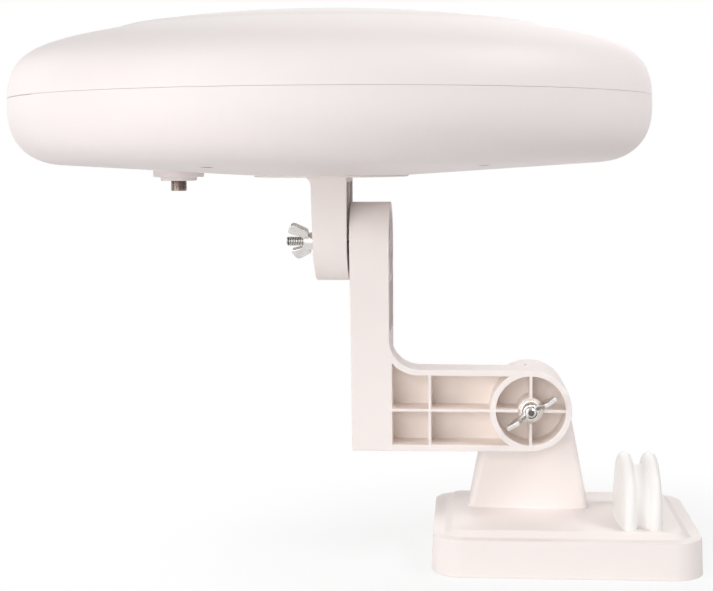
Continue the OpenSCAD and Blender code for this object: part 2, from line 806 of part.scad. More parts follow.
module dome_foot() {
    pocket_depth = foot_t - foot_wall - 1;
    color(plastic_white)
    difference() {
        union() {
            at_dome() cylinder(h = flange_t, r = flange_r, $fn = round_fn);
            intersection() {
                at_dome() rotate([90, 0, 0]) translate([0, 0, -foot_depth])
                    linear_extrude(2 * foot_depth) foot_side();
                at_upper_pivot(foot_in_x) linear_extrude(foot_t + foot_taper + 2 * foot_blend_r) {
                    circle(foot_r);
                    translate([0, -foot_r]) square([foot_rise + 1, foot_depth]);
                }
            }
        }
        at_upper_pivot(foot_in_x + overcut) linear_extrude(pocket_depth + overcut)
            difference() {
                union() {
                    circle(foot_r - foot_wall);
                    translate([0, -foot_r + foot_wall])
                        square([foot_rise - foot_wall, foot_depth - 2 * foot_wall]);
                }
                ring_web(foot_rise + foot_r);
            }
        at_upper_pivot(foot_in_x + overcut)
            cylinder(h = foot_t + foot_taper + 2 * overcut, r = bolt_hole_r);
        at_upper_pivot(spot_x) cylinder(h = foot_taper + overcut, r = spot_r);
        at_dome() at_foot_screws() {
            translate([0, 0, -overcut]) cylinder(h = flange_t + 2 * overcut, r = foot_screw_r + seat_clear);
            translate([0, 0, -0.01])
                cylinder(h = foot_screw_r + 0.01, r1 = 2 * foot_screw_r + seat_clear, r2 = foot_screw_r);
        }
    }
}

module foot_screws() {
    sink = 0.2;
    shank_r = foot_screw_r - seat_clear;
    color(zinc) at_dome() at_foot_screws() translate([0, 0, sink]) {
        cylinder(h = foot_screw_r - sink, r1 = 2 * foot_screw_r - sink, r2 = shank_r, $fn = 48);
        cylinder(h = foot_screw_l, r = shank_r, $fn = 48);
    }
}

// Solid of revolution of the whole dome, moved inwards by a wall
module dome_form(w) {
    rotate_extrude($fn = round_fn)
        polygon(concat(top_outline(w), under_outline(w), [[0, under_z(floor_r) + w]]));
}

module ring_band(in_r, out_r, h) {
    difference() {
        cylinder(h = h, r = out_r, $fn = round_fn);
        translate([0, 0, -overcut]) cylinder(h = h + 2 * overcut, r = in_r, $fn = round_fn);
    }
}

// Post that grows from the lower cover's floor up to a height
module cover_post(x, y, top) {
    low = under_z(norm([x, y])) + post_sink;
    translate([x, y, low]) cylinder(h = top - low, r = post_r);
}

module lower_cover() {
    case_seat = under_z(case_screw_ring_r) + case_recess_depth;
    color(plastic_white) at_dome()
    difference() {
        union() {
            difference() {
                union() {
                    dome_form(0);
                    translate([-connector_x, 0, boss_rise]) cylinder(h = cover_wall + 4, r = boss_r);
                    translate([-connector_x, 0, boss_bottom]) cylinder(h = cover_wall + 4, r = boss_step_r);
                }
                difference() {
                    dome_form(cover_wall);
                    cylinder(h = floor_z, r = floor_r, $fn = round_fn);
                }
                translate([0, 0, seam_h - seam_gap / 2])
                    cylinder(h = dome_h, r = dome_r + overcut, $fn = round_fn);
            }
            translate([0, 0, widest_h]) ring_band(lip_in_r, lip_out_r, seam_h + lip_h - widest_h);
            translate([0, 0, seal_z - 2]) ring_band(seal_in_r - 0.6, lip_out_r, 2);
            translate([0, 0, 1.2])
                at_case_screws() translate([0, 0, under_z(case_screw_ring_r)])
                    cylinder(h = seam_h - 2 - under_z(case_screw_ring_r), r = case_recess_r + 1.8);
            at_foot_screws() translate([0, 0, floor_z - 1])
                cylinder(h = foot_screw_l - floor_z + 3, r = foot_screw_r + 2.4);
            for (sx = [-1, 1], sy = [-1, 1])
                cover_post(-connector_x + sx * board_hole_x, sy * board_hole_y, board_h);
            at_blades() cover_post(blade_out_screw_r, 0, blade_h);
            for (i = [0 : 3])
                rotate([0, 0, 90 * i]) cover_post(loop_r, 0, loop_h - loop_saddle);
            translate([0, 0, floor_z - 1]) cylinder(h = blade_h - carrier_t - floor_z + 1, r = pillar_r);
            translate([-connector_x, 0, under_z(connector_x) + 1])
                cylinder(h = connector_seat - under_z(connector_x) - 1, r = boss_step_r);
        }
        translate([0, 0, -overcut]) cylinder(h = flange_t + overcut, r = flange_pocket_r, $fn = round_fn);
        at_case_screws() {
            cylinder(h = case_seat, r = case_recess_r);
            cylinder(h = dome_h, r = case_screw_r + seat_clear);
        }
        at_foot_screws() cylinder(h = foot_screw_l + 1, r = foot_screw_r - seat_clear + thread_clear);
        at_board_holes() translate([0, 0, board_h - board_screw_l])
            cylinder(h = board_screw_l + overcut, r = board_screw_r + thread_clear);
        at_blades() translate([blade_out_screw_r, 0, blade_h - blade_screw_l])
            cylinder(h = blade_screw_l + overcut, r = blade_screw_r + thread_clear);
        translate([0, 0, blade_h - carrier_screw_l])
            cylinder(h = carrier_screw_l, r = carrier_screw_r + thread_clear);
        translate([0, 0, loop_h]) rotate_extrude($fn = round_fn)
            translate([loop_r, 0]) circle(loop_rod_r + 0.05, $fn = 48);
        translate([-connector_x, 0, connector_tip]) cylinder(h = 2 * board_h, r = connector_r + seat_clear);
        translate([-connector_x, 0, connector_seat - seal_groove_h])
            cylinder(h = seal_groove_h + overcut, r = connector_neck_r + 2 * seal_rod_r + 0.15);
    }
}

module upper_cover() {
    boss_low = seam_h - 0.4;
    color(plastic_white) at_dome()
    difference() {
        union() {
            difference() {
                dome_form(0);
                dome_form(cover_wall);
                translate([0, 0, -overcut])
                    cylinder(h = seam_h + seam_gap / 2 + overcut, r = dome_r + overcut, $fn = round_fn);
            }
            translate([0, 0, seal_z + seal_t]) ring_band(seal_in_r - 0.6, seal_out_r, lip_h + 3);
            translate([0, 0, seam_h + lip_h + 0.3]) ring_band(seal_in_r - 0.6, seam_r - 0.9, 2);
            intersection() {
                at_case_screws() translate([0, 0, boss_low]) cylinder(h = dome_h, r = case_screw_r + 2.4);
                dome_form(cover_wall / 2);
            }
        }
        translate([0, 0, seam_h - overcut])
            ring_band(lip_in_r - seat_clear, lip_out_r + seat_clear, lip_h + 0.3 + overcut);
        at_case_screws() translate([0, 0, boss_low - overcut])
            cylinder(h = case_screw_l - 10 + overcut, r = case_screw_r + thread_clear);
    }
}

module cover_seal() {
    color(seal_grey) at_dome() translate([0, 0, seal_z]) ring_band(seal_in_r, seal_out_r, seal_t);
}

module case_screws() {
    color(zinc) at_dome() at_case_screws()
        translate([0, 0, under_z(case_screw_ring_r) + case_recess_depth])
            pan_screw(case_screw_r, case_screw_l, case_head_h);
}

module f_connector() {
    color(nickel) at_dome() translate([-connector_x, 0, 0])
    difference() {
        union() {
            translate([0, 0, connector_tip]) cylinder(h = connector_thread_l, r = connector_r);
            translate([0, 0, connector_tip])
                cylinder(h = connector_seat - connector_tip + overcut, r = connector_neck_r);
            translate([0, 0, connector_seat])
                cylinder(h = connector_body_l, r = connector_af / 2 / cos(30), $fn = 6);
        }
        translate([0, 0, connector_tip - overcut])
            cylinder(h = connector_seat + connector_body_l - connector_tip + 2 * overcut,
                r = connector_bore_r);
    }
}

module connector_insulator() {
    color(guide_white) at_dome() translate([-connector_x, 0, connector_tip + 1.6])
    difference() {
        cylinder(h = connector_seat + connector_body_l - connector_tip - 1.6, r = connector_bore_r - 0.02);
        translate([0, 0, -overcut]) cylinder(h = 3 * board_h, r = contact_r + 0.02);
    }
}

module connector_contact() {
    color(nickel) at_dome() translate([-connector_x, 0, connector_tip + 1.8])
    difference() {
        cylinder(h = board_h - connector_tip - 1.8, r = contact_r);
        translate([0, 0, -overcut]) cylinder(h = 8, r = 0.45, $fn = 32);
    }
}

module connector_seal() {
    color(seal_grey) at_dome() translate([-connector_x, 0, connector_seat - seal_rod_r - 0.05])
        rotate_extrude($fn = 64)
            translate([connector_neck_r + seal_rod_r + 0.08, 0]) circle(seal_rod_r, $fn = 32);
}

module amplifier_board() {
    color(board_green) at_dome()
    difference() {
        translate([-connector_x - board_l / 2, -board_w / 2, board_h]) cube([board_l, board_w, board_t]);
        at_board_holes() translate([0, 0, board_h - overcut])
            cylinder(h = board_t + 2 * overcut, r = board_screw_r + seat_clear);
    }
}

module amplifier_shield() {
    color(zinc) at_dome() translate([shield_x - shield_l / 2, -shield_w / 2, board_h + board_t])
    difference() {
        cube([shield_l, shield_w, shield_h]);
        translate([sheet_t, sheet_t, -overcut])
            cube([shield_l - 2 * sheet_t, shield_w - 2 * sheet_t, shield_h - sheet_t + overcut]);
    }
}

module balun_core() {
    core_l = 10;
    core_w = 8;
    core_h = 6;
    color(ferrite) at_dome() translate([balun_x, balun_y, board_h + board_t])
    difference() {
        translate([-core_w / 2, -core_l / 2, 0]) cube([core_w, core_l, core_h]);
        for (side = [-1, 1])
            translate([side * 1.9, core_l, core_h / 2]) rotate([90, 0, 0])
                cylinder(h = 2 * core_l, r = 1.1, $fn = 32);
    }
}

module board_screws() {
    color(zinc) at_dome() at_board_holes() translate([0, 0, board_h + board_t])
        rotate([180, 0, 0]) pan_screw(board_screw_r, board_screw_l, 1.6);
}

// Lead between the amplifier board and the blade carrier, with one round bend
module coax_lead() {
    foot_h = board_h + board_t;
    color(seal_grey) at_dome() {
        translate([coax_x, 0, foot_h]) cylinder(h = coax_h - coax_bend_r - foot_h, r = coax_r, $fn = 48);
        translate([coax_x + coax_bend_r, 0, coax_h - coax_bend_r]) rotate([90, 0, 0]) rotate([0, 0, 90])
            rotate_extrude(angle = 90, $fn = 64) translate([coax_bend_r, 0]) circle(coax_r, $fn = 48);
        translate([coax_x + coax_bend_r, 0, coax_h]) rotate([0, 90, 0])
            cylinder(h = -carrier_r + carrier_hole_depth - coax_x - coax_bend_r, r = coax_r, $fn = 48);
    }
}

module blade_carrier() {
    color(guide_white) at_dome()
    difference() {
        translate([0, 0, blade_h - carrier_t]) cylinder(h = carrier_t, r = carrier_r);
        translate([0, 0, blade_h - carrier_t - overcut])
            cylinder(h = carrier_t + 2 * overcut, r = carrier_screw_r + seat_clear);
        at_blades() translate([blade_in_screw_r, 0, blade_h - blade_screw_l])
            cylinder(h = blade_screw_l + overcut, r = blade_screw_r + thread_clear);
        translate([-carrier_r - overcut, 0, coax_h]) rotate([0, 90, 0])
            cylinder(h = carrier_hole_depth + overcut, r = coax_r + 0.05);
    }
}

module carrier_screw() {
    color(zinc) at_dome() translate([0, 0, blade_h]) rotate([180, 0, 0])
        pan_screw(carrier_screw_r, carrier_screw_l - 1, 2.4);
}

// Flaring sheet blade that points along one of the four diagonals
module dipole_blade(i) {
    color(alloy) at_dome() rotate([0, 0, 45 + 90 * i]) translate([0, 0, blade_h])
    difference() {
        linear_extrude(sheet_t)
            polygon([[blade_in_r, -blade_in_w / 2], [blade_end_r, -blade_w / 2],
                [blade_end_r, blade_w / 2], [blade_in_r, blade_in_w / 2]]);
        for (r = [blade_in_screw_r, blade_out_screw_r])
            translate([r, 0, -overcut]) cylinder(h = sheet_t + 2 * overcut, r = blade_screw_r + seat_clear);
    }
}

module blade_screws() {
    color(zinc) at_dome() at_blades()
        for (r = [blade_in_screw_r, blade_out_screw_r])
            translate([r, 0, blade_h + sheet_t]) rotate([180, 0, 0])
                pan_screw(blade_screw_r, blade_screw_l, 1.8);
}

module low_band_loop() {
    color(alloy) at_dome() translate([0, 0, loop_h])
        rotate_extrude($fn = round_fn) translate([loop_r, 0]) circle(loop_rod_r, $fn = 48);
}

base();
lower_bolt();
lower_washer();
lower_wing_nut();
cable_guide();
guide_screws();
arm();
upper_bolt();
upper_washer();
upper_wing_nut();
dome_foot();
foot_screws();
lower_cover();
upper_cover();
cover_seal();
case_screws();
f_connector();
connector_insulator();
connector_contact();
connector_seal();
amplifier_board();
amplifier_shield();
balun_core();
board_screws();
coax_lead();
blade_carrier();
carrier_screw();
dipole_blade(0);  // dipole_blade_1
dipole_blade(1);  // dipole_blade_2
dipole_blade(2);  // dipole_blade_3
dipole_blade(3);  // dipole_blade_4
blade_screws();
low_band_loop();
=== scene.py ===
import bmesh
import bpy
import math
from mathutils import Matrix, Vector
from mathutils.bvhtree import BVHTree
from mathutils.geometry import interpolate_bezier


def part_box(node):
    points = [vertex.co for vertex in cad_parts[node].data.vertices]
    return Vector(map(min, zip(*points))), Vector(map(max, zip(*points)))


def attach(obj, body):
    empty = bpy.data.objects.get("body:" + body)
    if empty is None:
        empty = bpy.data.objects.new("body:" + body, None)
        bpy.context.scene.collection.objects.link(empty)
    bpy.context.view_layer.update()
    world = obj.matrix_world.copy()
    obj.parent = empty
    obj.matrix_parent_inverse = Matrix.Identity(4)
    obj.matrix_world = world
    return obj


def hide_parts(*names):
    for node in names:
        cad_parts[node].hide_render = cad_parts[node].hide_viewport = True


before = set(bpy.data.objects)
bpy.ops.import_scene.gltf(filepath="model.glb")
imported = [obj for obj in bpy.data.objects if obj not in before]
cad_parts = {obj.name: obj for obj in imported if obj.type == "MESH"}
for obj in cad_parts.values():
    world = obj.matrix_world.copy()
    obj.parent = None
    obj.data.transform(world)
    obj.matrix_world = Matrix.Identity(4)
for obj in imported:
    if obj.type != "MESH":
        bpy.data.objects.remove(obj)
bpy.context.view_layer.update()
scene = bpy.context.scene
mm = 0.001


class Socket:  # one shader socket; sums on it add Math nodes
    def __init__(self, finish, socket):
        self.finish = finish
        self.socket = socket

    def pick(self, output):
        return Socket(self.finish, self.socket.node.outputs[output])

    def sum(self, operation, first, second):
        return self.finish.add("Math", {"operation": operation}, {0: first, 1: second})

    def __add__(self, other):
        return self.sum("ADD", self, other)

    def __radd__(self, other):
        return self.sum("ADD", other, self)

    def __sub__(self, other):
        return self.sum("SUBTRACT", self, other)

    def __rsub__(self, other):
        return self.sum("SUBTRACT", other, self)

    def __mul__(self, other):
        return self.sum("MULTIPLY", self, other)

    def __rmul__(self, other):
        return self.sum("MULTIPLY", other, self)


class Finish:  # a node tree, of a material or of the world
    def __init__(self, owner):
        self.owner = owner
        owner.use_nodes = True
        self.tree = owner.node_tree
        self.tree.nodes.clear()

    def add(self, kind, settings=None, inputs=None):
        node = self.tree.nodes.new("ShaderNode" + kind)
        for key, value in (settings or {}).items():
            setattr(node, key, value)
        for key, value in (inputs or {}).items():
            if isinstance(value, Socket):
                self.tree.links.new(value.socket, node.inputs[key])
            else:
                node.inputs[key].default_value = value
        return Socket(self, node.outputs[0]) if node.outputs else None

    def objectPlace(self, stretch=(1, 1, 1)):
        place = self.add("TexCoord").pick("Object")
        return self.add("Mapping", None, {"Vector": place, "Scale": stretch})

    def noise(self, place, scale, detail=2.0, rough=0.5):
        inputs = {"Vector": place, "Scale": scale, "Detail": detail, "Roughness": rough}
        return self.add("TexNoise", None, inputs)

    def blend(self, share, first, second):
        colours = {6: (*first, 1), 7: (*second, 1)}
        return self.add("Mix", {"data_type": "RGBA"}, {0: share, **colours}).pick(2)

    def bump(self, strength, depth, height):
        return self.add("Bump", None, {"Strength": strength, "Distance": depth * mm, "Height": height})

    def close(self, **inputs):
        inputs = {key.replace("_", " "): value for key, value in inputs.items()}
        shade = self.add("BsdfPrincipled", None, inputs)
        self.add("OutputMaterial", None, {"Surface": shade})
        return self.owner


def newFinish(name):
    return Finish(bpy.data.materials.new(name))


# noise scales are per metre, depths in mm
plasticGrain = {"cloud": 16.0, "flow": 60.0, "flowStretch": (1, 1, 0.35), "speck": 420.0, "spark": 1500.0,
                "depth": 0.05, "ior": 1.49, "specular": 0.45}


def moulding(name, pale, deep, rough, grain):
    # faint flow clouds in the colour, spark-eroded grain in the bump
    finish = newFinish(name)
    place = finish.objectPlace()
    cloud = finish.noise(place, plasticGrain["cloud"], 4.0, 0.55)
    flow = finish.noise(finish.objectPlace(plasticGrain["flowStretch"]), plasticGrain["flow"], 3.0)
    spark = finish.noise(place, plasticGrain["spark"])
    speck = finish.noise(place, plasticGrain["speck"], 3.0, 0.6)
    colour = finish.blend(0.55 * cloud + 0.45 * flow, pale, deep)
    gloss = rough + 0.16 * (speck - 0.5) + 0.1 * (cloud - 0.5)
    bump = finish.bump(grain, plasticGrain["depth"], spark + 0.6 * speck)
    return finish.close(Base_Color=colour, Roughness=gloss, Normal=bump, IOR=plasticGrain["ior"],
                        Specular_IOR_Level=plasticGrain["specular"])


platingMarks = {"patch": 260.0, "tumble": 2600.0, "tumbleStretch": (1, 0.25, 1), "depth": 0.03}


def plating(name, bright, dull, rough, grain):
    # soft patches of tone, fine tumbling marks
    finish = newFinish(name)
    drawn = finish.objectPlace(platingMarks["tumbleStretch"])
    patch = finish.noise(finish.objectPlace(), platingMarks["patch"], 4.0, 0.6)
    marks = finish.noise(drawn, platingMarks["tumble"], 3.0, 0.65)
    colour = finish.blend(patch, bright, dull)
    gloss = rough + 0.22 * (patch - 0.5) + 0.14 * (marks - 0.5)
    bump = finish.bump(grain, platingMarks["depth"], marks + 0.5 * patch)
    return finish.close(Base_Color=colour, Metallic=1.0, Roughness=gloss, Normal=bump)


mattGrain = {"finer": 9.0, "strength": 0.2, "depth": 0.05}


def mattBody(name, pale, deep, rough, scale):
    # rubber, ferrite and cable jacket: dusty mottling on a dull dark body
    finish = newFinish(name)
    place = finish.objectPlace()
    mottle = finish.noise(place, scale, 5.0, 0.6)
    grain = finish.noise(place, scale * mattGrain["finer"])
    colour = finish.blend(mottle, pale, deep)
    bump = finish.bump(mattGrain["strength"], mattGrain["depth"], grain + 0.4 * mottle)
    return finish.close(Base_Color=colour, Roughness=rough + 0.2 * (mottle - 0.5), Normal=bump)


boardTracks = {"rows": 90.0, "gap": 0.05, "edge": 0.2, "run": 1.2, "offset": 0.35, "cloud": 120.0,
               "strength": 0.3, "depth": 0.05}


def solderMask(name, mask, track, rough):
    # green mask over etched tracks, which run in steps along the board
    finish = newFinish(name)
    place = finish.objectPlace()
    bricks = {"Vector": place, "Scale": boardTracks["rows"], "Mortar Size": boardTracks["gap"],
              "Mortar Smooth": boardTracks["edge"], "Brick Width": boardTracks["run"]}
    rows = finish.add("TexBrick", {"offset": boardTracks["offset"]}, bricks).pick("Fac")
    cloud = finish.noise(place, boardTracks["cloud"], 3.0)
    colour = finish.blend(0.7 * rows + 0.2 * cloud, mask, track)
    bump = finish.bump(boardTracks["strength"], boardTracks["depth"], rows)
    return finish.close(Base_Color=colour, Roughness=rough + 0.2 * cloud, Normal=bump)


# two tones, roughness, then the strength of the grain or the scale of the mottling
whitePlastic = moulding("warm white moulding", (0.905, 0.834, 0.822), (0.885, 0.81, 0.796), 0.50, 0.10)
# a lighter copy of the dome's moulding for the bracket; part of its extra lightness is painted light,
# standing in for the stronger light low down
bracketWhiteWithPaintedLight = moulding("bracket white with painted light", (0.945, 0.876, 0.850), (0.925, 0.852, 0.824), 0.50, 0.10)
# painted bounce light: a warmer, lighter colour for the faces inside the arm's pockets
pocketBouncePaint = moulding("painted pocket bounce light", (0.988, 0.90, 0.845), (0.975, 0.882, 0.825), 0.50, 0.10)
# painted shade: a dark colour for the insides of the screws' recesses
recessShadePaint = moulding("painted recess shade", (0.16, 0.148, 0.144), (0.11, 0.102, 0.099), 0.60, 0.10)
# a brighter white for the cable guide; part of its extra brightness is painted light, standing in for
# more light on it
guideWhiteWithPaintedLight = moulding("guide white with painted light", (0.97, 0.955, 0.935), (0.95, 0.93, 0.905), 0.36, 0.08)
insulatorPlastic = moulding("insulator moulding", (0.84, 0.82, 0.78), (0.80, 0.77, 0.72), 0.45, 0.10)
zincPlate = plating("bright zinc plating", (0.86, 0.84, 0.81), (0.58, 0.56, 0.54), 0.28, 0.35)
# painted shade: a dark colour for the thread root between the ridges, also used on the bolts' flat ends
rootShadeAndDarkEnd = plating("painted thread root shade, dark bolt end", (0.13, 0.13, 0.13), (0.07, 0.07, 0.07), 0.40, 0.30)
nickelPlate = plating("nickel plating", (0.31, 0.25, 0.225), (0.20, 0.16, 0.145), 0.24, 0.15)
contactBrass = plating("contact brass", (0.78, 0.60, 0.28), (0.66, 0.48, 0.20), 0.30, 0.20)
tinPlate = plating("tinned sheet", (0.66, 0.66, 0.64), (0.52, 0.52, 0.51), 0.38, 0.30)
aluminiumSheet = plating("mill aluminium", (0.76, 0.77, 0.78), (0.66, 0.67, 0.68), 0.40, 0.30)
sealRubber = mattBody("seal rubber", (0.045, 0.045, 0.045), (0.022, 0.022, 0.022), 0.72, 300.0)
ferriteBody = mattBody("fired ferrite", (0.06, 0.055, 0.055), (0.03, 0.028, 0.028), 0.62, 500.0)
leadJacket = mattBody("lead jacket", (0.05, 0.05, 0.055), (0.03, 0.03, 0.033), 0.45, 200.0)
boardLaminate = solderMask("board laminate", (0.03, 0.16, 0.07), (0.07, 0.27, 0.11), 0.35)
print("finishes: %d" % len(bpy.data.materials))


def putPiece(name, bm, finish, body, nodes, crease=38, second=None):
    mesh = bpy.data.meshes.new(name)
    bm.to_mesh(mesh)
    bm.free()
    mesh.shade_smooth()
    mesh.set_sharp_from_angle(angle=math.radians(crease))
    piece = bpy.data.objects.new(name, mesh)
    scene.collection.objects.link(piece)
    for each in (finish, second):
        if each:
            mesh.materials.append(each)
    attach(piece, body)
    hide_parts(*nodes)
    print("piece: %s, %d faces" % (name, len(mesh.polygons)))
    return piece


def cadCopy(node, flat=0.6):
    # a CAD node's loose triangles, merged into flat faces
    bm = bmesh.new()
    bm.from_mesh(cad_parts[node].data)
    bmesh.ops.remove_doubles(bm, verts=bm.verts, dist=0.002 * mm)
    bmesh.ops.dissolve_limit(bm, angle_limit=math.radians(flat), verts=bm.verts, edges=bm.edges)
    return bm


def softenEdges(bm, width, segments=3, sharper=35, where=None):
    edges = [e for e in bm.edges if len(e.link_faces) == 2
             and e.calc_face_angle(0) > math.radians(sharper) and (where is None or where(e))]
    bmesh.ops.bevel(bm, geom=edges, offset=width * mm, segments=segments, profile=0.5,
                    affect="EDGES", material=-1, clamp_overlap=False)


def weightNormals(piece):
    weighted = piece.modifiers.new("flat faces stay flat", "WEIGHTED_NORMAL")
    weighted.keep_sharp = True


# how far the ridge sinks into its core in mm, then shares of a pitch
threadForm = {"sunk": 0.06, "foot": 0.05, "crestFrom": 0.4, "crestTo": 0.55, "end": 0.9}


class Spindle:  # a turning axis: points on it are (distance from the axis, place along it) in mm
    def __init__(self, foot, along, outward):
        self.foot = Vector(foot)
        self.along = Vector(along)
        self.outward = Vector(outward)

    def spot(self, radius, height):
        return self.foot + (self.outward * radius + self.along * height) * mm

    def turn(self, bm, points, steps=64, closed=False):
        chain = [bm.verts.new(self.spot(*point)) for point in points]
        edges = [bm.edges.new(pair) for pair in zip(chain, chain[1:])]
        if closed:
            edges.append(bm.edges.new((chain[-1], chain[0])))
        bmesh.ops.spin(bm, geom=chain + edges, cent=self.foot, axis=self.along, angle=2 * math.pi,
                       steps=steps, use_merge=True)

    def thread(self, bm, core, crest, start, end, pitch, steps=36):
        # one closed ridge that winds around a core
        turns = (end - start) / pitch - 1
        root = core - threadForm["sunk"]
        section = [(root, threadForm["foot"]), (crest, threadForm["crestFrom"]),
                   (crest, threadForm["crestTo"]), (root, threadForm["end"])]
        ridge = bm.faces.new([bm.verts.new(self.spot(r, start + pitch * h)) for r, h in section])
        rise = self.along * ((end - start - pitch) * mm / round(steps * turns))
        bmesh.ops.spin(bm, geom=[ridge], cent=self.foot, axis=self.along, dvec=rise,
                       angle=2 * math.pi * turns, steps=round(steps * turns))

    def hexagon(self, bm, across, low, high, chamfer):
        point = cornerRadius(across) * mm
        place = Matrix((self.outward.cross(self.along), self.outward, self.along)).transposed().to_4x4()
        place.translation = self.spot(0, (low + high) / 2)
        made = bmesh.ops.create_cone(bm, cap_ends=True, segments=6, radius1=point, radius2=point,
                                     depth=(high - low) * mm, matrix=place)
        rims = {e for v in made["verts"] for e in v.link_edges
                if abs((e.verts[1].co - e.verts[0].co).dot(self.along)) < 0.01 * mm}
        bmesh.ops.bevel(bm, geom=list(rims), offset=chamfer * mm, segments=2, profile=0.5,
                        affect="EDGES", material=-1)


def cornerRadius(across):
    return across / 2 / math.cos(math.pi / 6)  # of a hexagon, from its width across the flats


def closeTurned(bm):
    bmesh.ops.remove_doubles(bm, verts=bm.verts, dist=0.001 * mm)
    bmesh.ops.recalc_face_normals(bm, faces=bm.faces)


def midOf(node):
    low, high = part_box(node)
    return (Vector(low) + Vector(high)) / 2, Vector(low), Vector(high)


def arcPoints(centre, radius, first, last, steps):
    turns = [math.radians(first + (last - first) * i / steps) for i in range(steps + 1)]
    return [(centre[0] + radius * math.cos(a), centre[1] + radius * math.sin(a)) for a in turns]


def ringSpots(centre, radius, start, count):
    turns = [math.radians(start + 360 * i / count) for i in range(count)]
    return [(centre.x + radius * mm * math.cos(a), centre.y + radius * mm * math.sin(a)) for a in turns]


# the three big mouldings keep their modelled solids, with rounded edges
mouldings = {"base": ("base", 0.6), "arm": ("arm", 0.45), "dome_foot": ("dome", 0.45)}
pocketBounceMask = {"below": 130.0, "deeper": 3.0, "across": 70.0, "lift": 0.2, "faces": 0.9, "stands": 0.3}


def paintPocketBounce(bm, sizes):
    # painted bounce light: the floors and walls of the pockets between the arm's ribs get a warmer,
    # lighter colour for the light that bounces between them
    tree = BVHTree.FromBMesh(bm)
    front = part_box("arm")[0][1]
    for face in bm.faces:
        spot, way = face.calc_center_median(), face.normal
        lifted = spot + way * sizes["lift"] * mm
        floor = way.y < -sizes["faces"] and spot.y > front + sizes["deeper"] * mm
        wall = abs(way.y) < sizes["stands"] and tree.ray_cast(lifted, way, sizes["across"] * mm)[0]
        face.material_index = 1 if spot.z < sizes["below"] * mm and (floor or wall) else 0


for node, (body, width) in mouldings.items():
    bm = cadCopy(node)
    softenEdges(bm, width)
    # painted bounce light on the arm's pocket faces
    if node == "arm":
        paintPocketBounce(bm, pocketBounceMask)
    weightNormals(putPiece(node + "_moulding", bm, bracketWhiteWithPaintedLight, body, [node],
                           second=pocketBouncePaint if node == "arm" else None))

domeShape = {
    "radius": 184.0, "crown": 94.0, "wall": 2.6, "widest": 38.0,
    "plateau": 118.0, "plateauFall": 9.2, "stepWidth": 12.0, "stepDrop": 3.2,
    "shoulderSlope": 0.19, "shoulderLead": 0.84, "shoulderDrop": 13.5,
    "rim": 44.84, "rimRound": 0.25,
    "lipGroove": (180.9, 182.3, 48.7), "sealRib": (178.3, 45.9), "innerGap": 0.5,
    "screwRing": 140.0, "screwStart": -111.0, "screws": 6,
    "bossRadius": 4.15, "bossLow": 44.6, "bossHigh": 74.0, "bossRound": 0.3,
    "steps": 240, "bossSteps": 24, "crownSteps": 20, "stepPoints": 16, "shoulderPoints": 48, "crease": 30,
}
domeMid, _, domeHigh = midOf("upper_cover")
domeAxis = Spindle((domeMid.x, domeMid.y, domeHigh.z - domeShape["crown"] * mm), (0, 0, 1), (1, 0, 0))
caseSpots = ringSpots(domeAxis.foot, domeShape["screwRing"], domeShape["screwStart"], domeShape["screws"])


def topOutline(sizes, inset):
    # a parabola over the plateau, a soft step down, then the shoulder to the widest point
    plateau, fall, slope = sizes["plateau"], sizes["plateauFall"], sizes["shoulderSlope"]
    top = sizes["crown"] - inset
    edge = top - fall
    footR, footZ = plateau + sizes["stepWidth"], edge - sizes["stepDrop"]
    ease = sizes["stepWidth"] / 3
    lead = sizes["shoulderLead"] * (sizes["radius"] - footR)
    out = sizes["radius"] - inset
    shares = [i / sizes["crownSteps"] for i in range(sizes["crownSteps"])]
    crown = [(plateau * k, top - fall * k * k) for k in shares]
    step = interpolate_bezier((plateau, 0, edge), (plateau + ease, 0, edge - ease * slope / 2),
                              (footR - ease, 0, footZ + ease * slope), (footR, 0, footZ),
                              sizes["stepPoints"])
    shoulder = interpolate_bezier((footR, 0, footZ), (footR + lead, 0, footZ - lead * slope),
                                  (out, 0, footZ - sizes["shoulderDrop"]), (out, 0, sizes["widest"]),
                                  sizes["shoulderPoints"])
    return crown + [(p[0], p[2]) for p in step[:-1] + shoulder]


def upperCover(sizes):
    rim, ease = sizes["rim"], sizes["rimRound"]
    grooveIn, grooveOut, grooveTop = sizes["lipGroove"]
    ribIn, ribLow = sizes["sealRib"]
    outer = [p for p in topOutline(sizes, 0) if p[1] > rim + ease]
    lip = arcPoints((outer[-1][0] - ease, rim + ease), ease, 0, -90, 4)
    step = [(grooveOut, rim), (grooveOut, grooveTop), (grooveIn, grooveTop), (grooveIn, ribLow),
            (ribIn, ribLow)]
    inner = [p for p in topOutline(sizes, sizes["wall"]) if p[0] < ribIn - sizes["innerGap"]]
    bm = bmesh.new()
    domeAxis.turn(bm, outer + lip + step + inner[::-1], sizes["steps"])
    out, soft, low, high = sizes["bossRadius"], sizes["bossRound"], sizes["bossLow"], sizes["bossHigh"]
    for x, y in caseSpots:
        boss = Spindle((x, y, domeAxis.foot.z), (0, 0, 1), (1, 0, 0))
        profile = [(0, low), (out - soft, low), (out, low + soft), (out, high), (0, high)]
        boss.turn(bm, profile, sizes["bossSteps"])
    closeTurned(bm)
    return bm


putPiece("upper_cover_shell", upperCover(domeShape), whitePlastic, "dome", ["upper_cover"],
         domeShape["crease"])

underSide = {
    "flangeR": 45.2, "proud": 0.9, "edgeWidth": 29.0, "edgeHeight": 7.8, "soften": 0.5,
    "shownDepth": 0.5, "shownReach": 150.0,
    "recess": 3.6, "recessRound": 0.15, "edgeRoom": 0.1, "faceRoom": 0.02,
}


